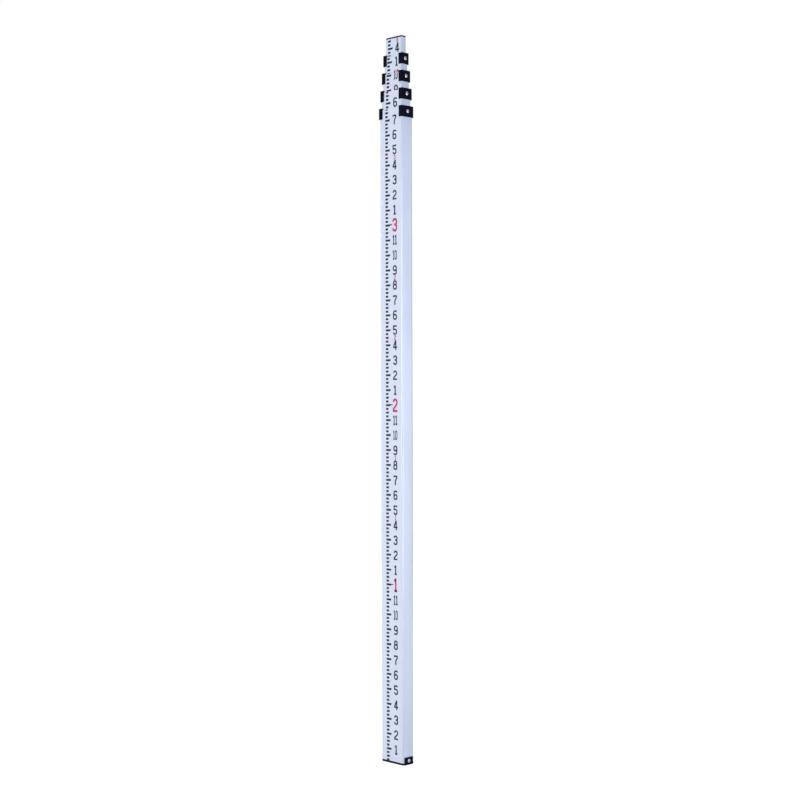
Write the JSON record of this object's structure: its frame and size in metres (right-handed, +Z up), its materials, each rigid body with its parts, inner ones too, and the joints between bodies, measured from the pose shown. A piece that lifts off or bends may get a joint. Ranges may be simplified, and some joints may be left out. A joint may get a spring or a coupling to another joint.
{
  "type": "leveling rod",
  "caption": "Telescopic surveying rod of nested rectangular tubes with a printed scale, moulded end collars, a foot cap, and spring catches that lock it when drawn out.",
  "frame": {"origin": "centre of the foot cap's underside, on the rod's long axis", "axes": "+Z up the rod; -Y towards the graduated front face; +X towards the right narrow side, seen from the front"},
  "size_m": [0.0598, 0.03, 1.2323],
  "materials": {
    "coated_aluminium": "satin",
    "black_plastic": "moulded satin",
    "rivet_aluminium": "bright",
    "nylon": "natural",
    "catch_metal": "bright",
    "steel": "drawn",
    "ink_black": "printed",
    "ink_red": "printed"
  },
  "bodies": {
    "section_1": {"section_1_tube": "coated_aluminium", "base_cap": "black_plastic", "base_rivet_right": "rivet_aluminium", "base_rivet_left": "rivet_aluminium", "collar_1_right": "black_plastic", "collar_1_left": "black_plastic", "collar_1_rivet_right": "rivet_aluminium", "collar_1_rivet_left": "rivet_aluminium"},
    "section_2": {"section_2_tube": "coated_aluminium", "lock_plug_2": "nylon", "lock_pin_2": "steel", "lock_spring_2": "steel", "collar_2_right": "black_plastic", "collar_2_left": "black_plastic", "collar_2_rivet_right": "rivet_aluminium", "collar_2_rivet_left": "rivet_aluminium"},
    "section_3": {"section_3_tube": "coated_aluminium", "lock_plug_3": "nylon", "lock_pin_3": "steel", "lock_spring_3": "steel", "collar_3_right": "black_plastic", "collar_3_left": "black_plastic", "collar_3_rivet_right": "rivet_aluminium", "collar_3_rivet_left": "rivet_aluminium"},
    "section_4": {"section_4_tube": "coated_aluminium", "lock_plug_4": "nylon", "lock_pin_4": "steel", "lock_spring_4": "steel", "collar_4_right": "black_plastic", "collar_4_left": "black_plastic", "collar_4_rivet_right": "rivet_aluminium", "collar_4_rivet_left": "rivet_aluminium"},
    "section_5": {"section_5_tube": "coated_aluminium", "lock_plug_5": "nylon", "lock_pin_5": "steel", "lock_spring_5": "steel", "top_cap": "black_plastic"},
    "catch_2": {"lock_button_2": "catch_metal"},
    "catch_3": {"lock_button_3": "catch_metal"},
    "catch_4": {"lock_button_4": "catch_metal"},
    "catch_5": {"lock_button_5": "catch_metal"}
  },
  "joints": [
    {"name": "section_2_slide", "type": "slide", "parent": "section_1", "child": "section_2", "axis": [0, 0, 1], "range_m": [0, 0.8595]},
    {"name": "section_3_slide", "type": "slide", "parent": "section_2", "child": "section_3", "axis": [0, 0, 1], "range_m": [0, 0.969]},
    {"name": "section_4_slide", "type": "slide", "parent": "section_3", "child": "section_4", "axis": [0, 0, 1], "range_m": [0, 0.968]},
    {"name": "section_5_slide", "type": "slide", "parent": "section_4", "child": "section_5", "axis": [0, 0, 1], "range_m": [0, 0.967]},
    {"name": "catch_2_press", "type": "slide", "parent": "section_2", "child": "catch_2", "axis": [0, -1, 0], "range_m": [0, 0.0015], "stiffness_N_per_m": 1500, "deforming": ["lock_spring_2"]},
    {"name": "catch_3_press", "type": "slide", "parent": "section_3", "child": "catch_3", "axis": [0, -1, 0], "range_m": [0, 0.0015], "stiffness_N_per_m": 1500, "deforming": ["lock_spring_3"]},
    {"name": "catch_4_press", "type": "slide", "parent": "section_4", "child": "catch_4", "axis": [0, -1, 0], "range_m": [0, 0.0015], "stiffness_N_per_m": 1500, "deforming": ["lock_spring_4"]},
    {"name": "catch_5_press", "type": "slide", "parent": "section_5", "child": "catch_5", "axis": [0, -1, 0], "range_m": [0, 0.0015], "stiffness_N_per_m": 1500, "deforming": ["lock_spring_5"]}
  ]
}
